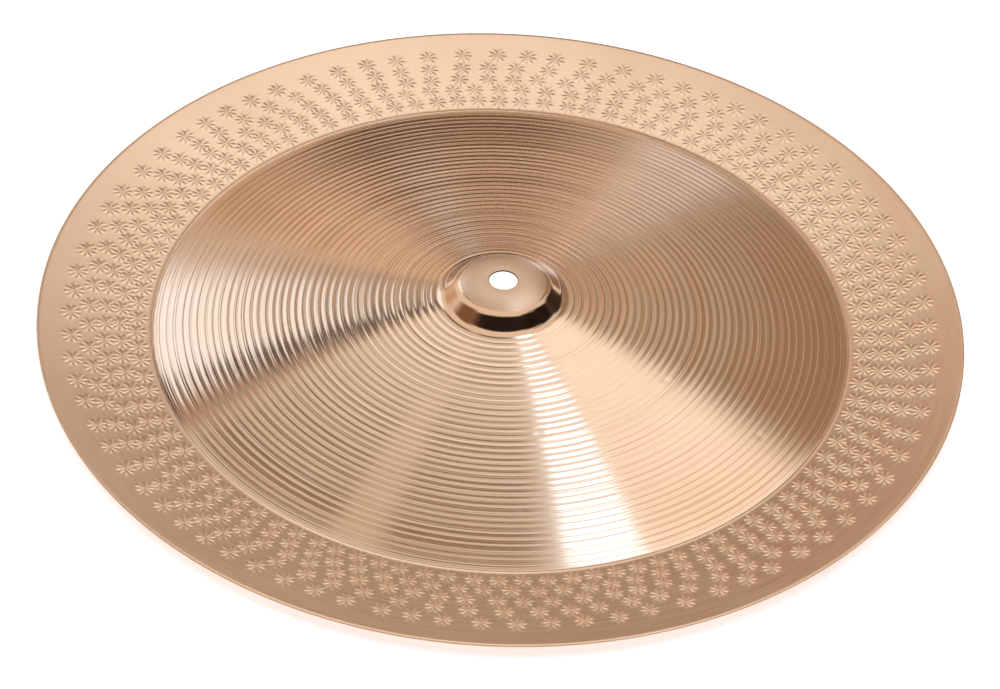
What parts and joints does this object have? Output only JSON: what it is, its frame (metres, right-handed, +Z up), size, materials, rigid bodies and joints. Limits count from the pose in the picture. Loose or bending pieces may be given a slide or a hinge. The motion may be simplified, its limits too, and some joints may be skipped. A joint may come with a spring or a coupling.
{
  "type": "china cymbal",
  "caption": "China cymbal: a lathed bronze disc with a low domed bell, a shallow bow, a crease and a hammered flange that turns up to the rim.",
  "frame": {"origin": "on the axis of the centre hole, level with the underside of the crease, the lowest ring, which is what the cymbal lies on", "axes": "+Z up along the axis, out of the top of the bell. X and Y are alike, because the cymbal is round."},
  "size_m": [0.4572, 0.4572, 0.0344],
  "materials": {
    "bronze": "lathed and bright on the bow, satin with hammer marks on the flange"
  },
  "bodies": {
    "root": {"cymbal": "bronze"}
  },
  "joints": []
}
